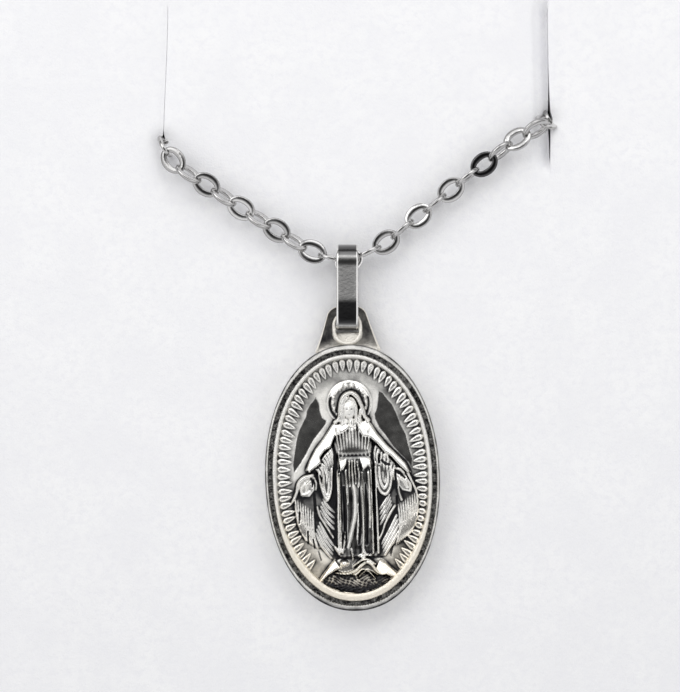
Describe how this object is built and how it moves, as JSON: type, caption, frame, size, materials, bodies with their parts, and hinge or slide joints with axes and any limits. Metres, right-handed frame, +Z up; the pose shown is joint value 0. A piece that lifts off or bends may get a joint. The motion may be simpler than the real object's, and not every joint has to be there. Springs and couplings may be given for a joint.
{
  "type": "religious medal pendant necklace on a padded display card",
  "caption": "Oval religious medal with a pierced lug, strap bail and flat cable chain, threaded through the two slits of a padded display card",
  "frame": {"origin": "middle of the card's underside, where it rests on the surface", "axes": "+Z up, out of the card's padded face; +Y along the card towards its slits; +X to the right of a viewer above it"},
  "size_m": [0.104, 0.124, 0.013],
  "materials": {
    "flock": "near-white flocked velvet over a stiff card",
    "medal_silver": "struck silver, polished high points over a darkened ground",
    "bail_silver": "polished silver strap",
    "chain_silver": "bright filed silver links"
  },
  "bodies": {
    "root": {"display_pad": "flock", "medal": "medal_silver", "bail": "bail_silver", "chain_left": "chain_silver", "chain_right": "chain_silver", "clasp": "chain_silver"}
  },
  "joints": []
}
